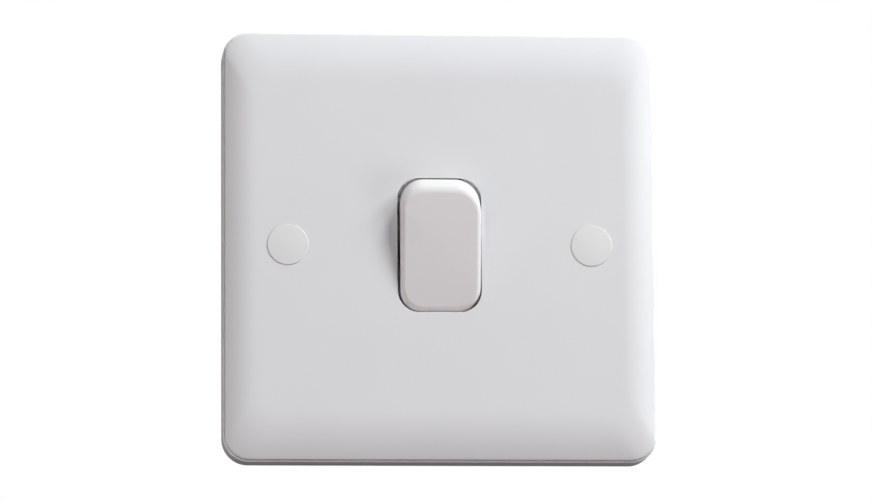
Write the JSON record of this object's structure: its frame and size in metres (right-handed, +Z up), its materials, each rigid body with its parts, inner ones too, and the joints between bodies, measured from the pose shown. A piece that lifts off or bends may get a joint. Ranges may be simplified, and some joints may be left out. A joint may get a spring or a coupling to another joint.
{
  "type": "rocker wall switch",
  "caption": "Single rocker wall switch on a square moulded plate, with its change-over mechanism, rear terminals, fixing screws and cover caps.",
  "frame": {"origin": "centre of the plate's rear face, on the wall", "axes": "+Y into the wall, +X to the right seen from the front, +Z up; the front faces -Y"},
  "size_m": [0.086, 0.0326, 0.086],
  "materials": {
    "plate_white": "glossy moulded thermoset, white",
    "rocker_white": "glossy moulded plastic, slightly warmer white",
    "cap_white": "satin moulded plastic, white",
    "housing_grey": "matt moulded, light grey",
    "plunger_nylon": "natural nylon",
    "spring_steel": "drawn wire",
    "contact_copper": "rolled copper strip",
    "contact_silver": "silver alloy rivet",
    "terminal_brass": "machined brass",
    "zinc_steel": "bright zinc plate"
  },
  "bodies": {
    "plate": {"front_plate": "plate_white", "rear_housing": "housing_grey", "housing_screw_upper": "zinc_steel", "housing_screw_lower": "zinc_steel", "common_bracket": "terminal_brass", "strip_upper": "terminal_brass", "strip_lower": "terminal_brass", "fixed_tip_upper": "contact_silver", "fixed_tip_lower": "contact_silver", "terminal_upper": "terminal_brass", "terminal_lower": "terminal_brass", "terminal_common": "terminal_brass"},
    "rocker": {"rocker": "rocker_white", "plunger_spring": "spring_steel"},
    "plunger": {"plunger": "plunger_nylon"},
    "contact": {"moving_contact": "contact_copper", "moving_tip_upper": "contact_silver", "moving_tip_lower": "contact_silver"},
    "clamp_upper": {"clamp_screw_upper": "zinc_steel"},
    "clamp_lower": {"clamp_screw_lower": "zinc_steel"},
    "clamp_common": {"clamp_screw_common": "zinc_steel"},
    "fixing_left": {"fixing_screw_left": "zinc_steel"},
    "fixing_right": {"fixing_screw_right": "zinc_steel"},
    "cap_left": {"cap_left": "cap_white"},
    "cap_right": {"cap_right": "cap_white"}
  },
  "joints": [
    {"name": "rocker_tilt", "type": "hinge", "parent": "plate", "child": "rocker", "pos_m": [0, -0.003, 0], "axis": [-1, 0, 0], "range_deg": [0, 18]},
    {"name": "contact_rock", "type": "hinge", "parent": "plate", "child": "contact", "pos_m": [0, 0.0103, 0], "axis": [1, 0, 0], "range_deg": [0, 21]},
    {"name": "plunger_press", "type": "slide", "parent": "rocker", "child": "plunger", "axis": [0, -0.9877, -0.1564], "range_m": [0, 0.0012], "stiffness_N_per_m": 300, "springref_m": -0.003, "deforming": ["plunger_spring"]},
    {"name": "clamp_upper_drive", "type": "slide", "parent": "plate", "child": "clamp_upper", "axis": [0, -1, 0], "range_m": [0, 0.002]},
    {"name": "clamp_lower_drive", "type": "slide", "parent": "plate", "child": "clamp_lower", "axis": [0, -1, 0], "range_m": [0, 0.002]},
    {"name": "clamp_common_drive", "type": "slide", "parent": "plate", "child": "clamp_common", "axis": [0, -1, 0], "range_m": [0, 0.002]},
    {"name": "fixing_left_turn", "type": "hinge", "parent": "plate", "child": "fixing_left", "pos_m": [-0.03015, 0, 0], "axis": [0, 1, 0], "continuous": true},
    {"name": "fixing_right_turn", "type": "hinge", "parent": "plate", "child": "fixing_right", "pos_m": [0.03015, 0, 0], "axis": [0, 1, 0], "continuous": true},
    {"name": "cap_left_pull", "type": "slide", "parent": "plate", "child": "cap_left", "axis": [0, -1, 0], "range_m": [0, 0.004]},
    {"name": "cap_right_pull", "type": "slide", "parent": "plate", "child": "cap_right", "axis": [0, -1, 0], "range_m": [0, 0.004]}
  ],
  "couplings": [
    {"joint": "contact_rock", "follows": "rocker_tilt", "ratio": 1.1667}
  ]
}
